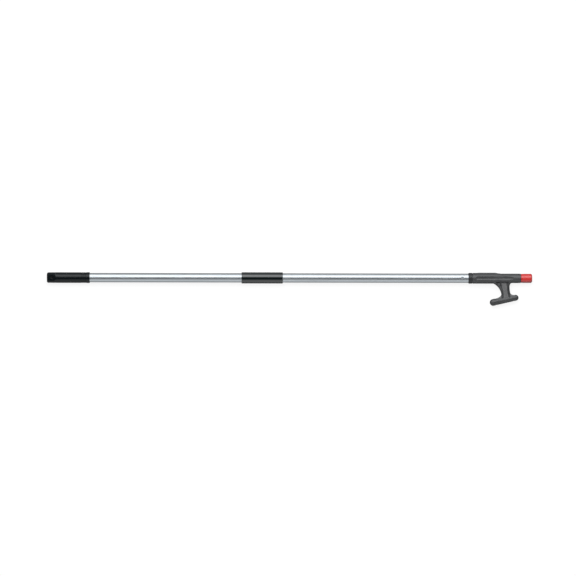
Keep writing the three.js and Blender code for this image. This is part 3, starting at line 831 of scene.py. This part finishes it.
def head_screw(node):
    """A countersunk socket screw."""
    low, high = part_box(node)
    top = high.y - AXIS.y
    tip = low.y - AXIS.y
    head_radius, shank = (high.x - low.x) / 2, 1.9 * MM
    point_length, head_height = 1.5 * MM, 2.2 * MM
    recess_depth, recess_radius = 1.3 * MM, 1.45 * MM
    corners = [
        (tip, 0, 0),
        (tip + point_length, shank, 0),
        (top - head_height, shank, 0),
        (top - 0.25 * MM, head_radius, 0.15 * MM),
        (top, head_radius - 0.2 * MM, 0),
        (top, 0, 0),
    ]
    item = as_object(f"{node}_look", lathe(corners, screw_place(node), 64))
    carve(item, [rod(top - recess_depth, top + PAST, recess_radius, screw_place(node), sides=6)])
    return item


def tip_cap():
    """The red cap: it widens a little from the nose, then runs straight to a well-rounded end."""
    bore = HEAD_SPIGOT_RADIUS * MM + GLUE_GAP
    inner_end = HEAD_SPIGOT_END + 0.1 * MM
    widest_from = CAP_START + 12 * MM
    corners = [
        (inner_end, 0, 0),
        (inner_end, bore, 0),
        (CAP_START, bore, 0),
        (CAP_START, CAP_RADIUS - 0.3 * MM, 0.9 * MM),
        (widest_from, CAP_RADIUS, 8 * MM),
        (TIP, CAP_RADIUS, 5 * MM),
        (TIP, 0, 0),
    ]
    return as_object("tip_cap_look", lathe(corners))


stand_for(outer_tube(), "outer_tube", LOOKS["tube"], "outer")
stand_for(end_grip(), "end_grip", LOOKS["grip"], "outer")
stand_for(mid_grip(), "mid_grip", LOOKS["sleeve"], "outer")
stand_for(guide_bushing(), "guide_bushing", LOOKS["lock_nylon"], "outer")
stand_for(inner_tube(), "inner_tube", LOOKS["tube"], "inner")
stand_for(hook_head(), "hook_head", LOOKS["head_nylon"], "inner")
stand_for(tip_cap(), "tip_cap", LOOKS["tip_red"], "inner")
for screw in HEAD_SCREWS:
    stand_for(head_screw(screw), screw, LOOKS["steel"], "inner")

# The lock, the seals and the foam stay as the CAD's own solids, with finished materials.
CARRIED_OVER = {
    "wiper_ring": "seal_rubber",
    "butt_foam_plug": "foam",
    "rear_foam_plug": "foam",
    "front_foam_plug": "foam",
    "glide_ring": "lock_nylon",
    "cam_plug": "lock_nylon",
    "cam_ring": "lock_nylon",
    "cam_drag_ring": "seal_rubber",
    "cam_washer": "steel",
    "cam_screw": "steel",
    "cam_plug_pin": "steel",
}
for node, slot in CARRIED_OVER.items():
    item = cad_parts[node]
    shade(item)
    item.data.materials.clear()
    item.data.materials.append(LOOKS[slot])


# ---------------------------------------------------------------- stage, light and camera

# Brightness all round the pole, by angle from straight up (negative on the hook's side), in degrees.
TENT = (
    (-180, 0.05),
    (-140, 0.12),
    (-112, 0.50),
    (-92, 1.00),
    (-60, 1.10),
    (-42, 0.75),
    (-31, 0.02),
    (-2, 0.02),
    (13, 0.40),
    (29, 3.15),
    (54, 3.15),
    (68, 1.00),
    (95, 0.65),
    (125, 0.15),
    (180, 0.05),
)
TENT_ENDS_START = 0.5  # how far along the pole's direction the tent's ends begin to darken
TENT_ENDS_LEVEL = 0.3
TABLE_GLOW = 0.88

# The camera's view: its width, and its middle from the middle of the object, in lengths of the object.
VIEW_WIDTH = 1.189
VIEW_MIDDLE = Vector((-0.0031, 0.00185))
VIEW_ROLL = math.radians(0.1)


def studio_floor():
    """A pale table that glows evenly, apart from a painted shadow: its glow fades out in a small disc under
    the butt end's lanyard hole.
    """
    half = 40
    painted_shadow_radius, shadow_fade_radius = 5 * MM, 9 * MM
    corners = ((-half, -half), (half, -half), (half, half), (-half, half))
    work = bmesh.new()
    work.faces.new([work.verts.new((x, y, 0)) for x, y in corners])
    floor = as_object("floor", work)
    finish = Finish("pale_table", (0.06, 0.06, 0.06), Roughness=0.9, Specular_IOR_Level=0.0)
    finish.shader.inputs["Emission Color"].default_value = (1, 1, 1, 1)
    # Painted shadow: no glow within the inner radius round the lanyard hole, fading back in by the outer one.
    reach = finish.node("ShaderNodeVectorMath", operation="DISTANCE")
    reach.inputs[1].default_value = (LANYARD_HOLE, AXIS.y, 0)
    finish.link(finish.space, reach.inputs[0])
    glow = finish.spread(reach.outputs["Value"], painted_shadow_radius, shadow_fade_radius, 0.0, TABLE_GLOW)
    finish.link(glow, finish.shader.inputs["Emission Strength"])
    floor.data.materials.append(finish.material)
    floor.visible_diffuse = False
    floor.visible_glossy = False
    floor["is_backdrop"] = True


def top_light():
    """A large soft light, leaning away from the hook, that lights faces but doesn't show in their gloss."""
    size, distance, radiance, lean = 3.0, 4.0, 14.0, math.radians(25)
    light = bpy.data.lights.new("top_light", "AREA")
    light.size = size
    light.energy = radiance * math.pi * size * size
    lamp = bpy.data.objects.new("top_light", light)
    lamp.matrix_world = Matrix.Rotation(-lean, 4, "X") @ Matrix.Translation((0, 0, distance))
    lamp.visible_camera = False
    lamp.visible_glossy = False
    bpy.context.scene.collection.objects.link(lamp)


def calculate(tree, operation, *values):
    """One step of arithmetic on the outputs of other nodes."""
    made = tree.nodes.new("ShaderNodeMath")
    made.operation = operation
    for value, socket in zip(values, made.inputs):
        tree.links.new(value, socket)
    return made.outputs["Value"]


def remap(tree, value, limits, interpolation="LINEAR"):
    """A value mapped between the ranges that limits gives, and held inside them."""
    made = tree.nodes.new("ShaderNodeMapRange")
    made.interpolation_type = interpolation
    for socket, number in limits.items():
        made.inputs[socket].default_value = number
    tree.links.new(value, made.inputs["Value"])
    return made.outputs["Result"]


def tent_bands(tree, angle, brightest):
    """The brightness that TENT gives at an angle round the pole, as a share of its brightest."""
    bands = tree.nodes.new("ShaderNodeFloatCurve")
    curve = bands.mapping.curves[0]
    while len(curve.points) < len(TENT):
        curve.points.new(0.5, 0.5)
    for point, (degrees, level) in zip(curve.points, TENT):
        point.location = ((degrees + 180) / 360, level / brightest)
        point.handle_type = "VECTOR"
    bands.mapping.update()
    turn = remap(tree, angle, {"From Min": -math.pi, "From Max": math.pi})
    tree.links.new(turn, bands.inputs["Value"])
    return bands.outputs["Value"]


def light_tent():
    """Soft bands of light along the pole: a dim one on the hook's side and a bright one on the other."""
    world = bpy.data.worlds.new("tent")
    world.use_nodes = True
    bpy.context.scene.world = world
    tree = world.node_tree
    background = tree.nodes["Background"]
    background.inputs["Color"].default_value = (0.96, 0.985, 1.0, 1)
    direction = tree.nodes.new("ShaderNodeSeparateXYZ")
    tree.links.new(tree.nodes.new("ShaderNodeTexCoord").outputs["Generated"], direction.inputs["Vector"])
    brightest = max(level for _, level in TENT)
    angle = calculate(tree, "ARCTAN2", direction.outputs["Y"], direction.outputs["Z"])
    bands = tent_bands(tree, angle, brightest)
    off_axis = calculate(tree, "ABSOLUTE", direction.outputs["X"])
    darkening = {
        "From Min": TENT_ENDS_START,
        "From Max": 1.0,
        "To Min": brightest,
        "To Max": brightest * TENT_ENDS_LEVEL,
    }
    ends = remap(tree, off_axis, darkening, "SMOOTHSTEP")
    strength = calculate(tree, "MULTIPLY", bands, ends)
    tree.links.new(strength, background.inputs["Strength"])


def far_camera():
    """A long lens straight above the hook's plane, framed on the object's box."""
    low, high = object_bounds()
    length = high.x - low.x
    frame_width = VIEW_WIDTH * length
    centre = (low.xy + high.xy) / 2 + VIEW_MIDDLE * length
    data = bpy.data.cameras.new("camera")
    data.lens = 300
    data.sensor_width = 36
    distance = frame_width * data.lens / data.sensor_width
    data.clip_start = 0.1
    data.clip_end = 4 * distance
    camera = bpy.data.objects.new("camera", data)
    camera.location = (centre.x, centre.y, distance)
    camera.rotation_euler = (0, 0, VIEW_ROLL)
    bpy.context.scene.collection.objects.link(camera)
    bpy.context.scene.camera = camera


studio_floor()
top_light()
light_tent()
far_camera()
bpy.context.scene.view_settings.view_transform = "Standard"
